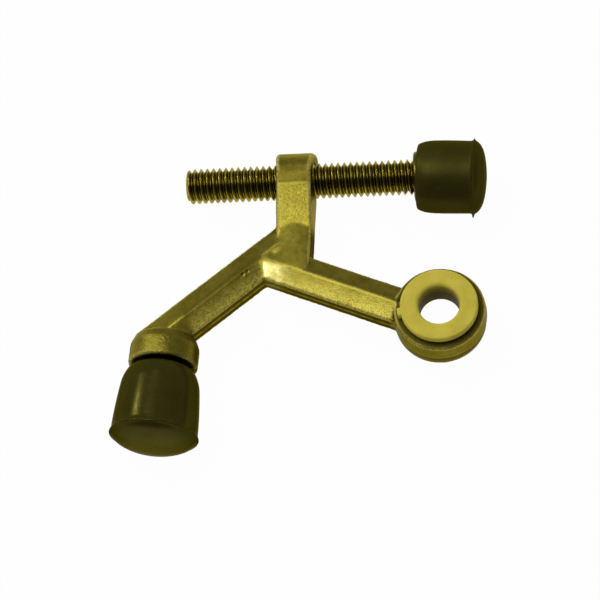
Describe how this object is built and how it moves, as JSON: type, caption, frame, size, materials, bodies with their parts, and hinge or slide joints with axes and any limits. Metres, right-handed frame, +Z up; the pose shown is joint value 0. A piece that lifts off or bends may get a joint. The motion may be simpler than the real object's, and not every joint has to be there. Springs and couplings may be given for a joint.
{
  "type": "hinge pin door stop",
  "caption": "Y-shaped cast door stop that fits on a hinge pin: a flanged bushing in its ring, a fixed rubber bumper on one arm and a threaded rod with a rubber tip through its post.",
  "frame": {"origin": "on the axis of the hinge pin bore, half way up the ring, in the plane where the casting's two halves meet", "axes": "+Z up along the hinge pin towards its head, +X along the adjusting screw towards its rubber tip, +Y from the ring towards the screw"},
  "size_m": [0.0816, 0.073, 0.0194],
  "materials": {
    "cast_brass": "satin, faintly grained as cast",
    "screw_brass": "satin, dark in the thread",
    "bushing_plastic": "matte",
    "tip_rubber": "satin",
    "bumper_rubber": "satin"
  },
  "bodies": {
    "fork": {"stop_casting": "cast_brass", "pin_bushing": "bushing_plastic", "fixed_rubber_bumper": "bumper_rubber"},
    "rubber_tip": {"screw_rubber_tip": "tip_rubber"},
    "screw": {"adjusting_screw": "screw_brass"}
  },
  "joints": [
    {"name": "screw_travel", "type": "slide", "parent": "fork", "child": "rubber_tip", "axis": [1, 0, 0], "range_m": [-0.02, 0.0198]},
    {"name": "screw_turn", "type": "hinge", "parent": "rubber_tip", "child": "screw", "pos_m": [0, 0.03475, 0], "axis": [1, 0, 0], "range_deg": [-5101.4, 5050.3]}
  ],
  "couplings": [
    {"joint": "screw_travel", "follows": "screw_turn", "m_per_rad": 0.00022459}
  ]
}
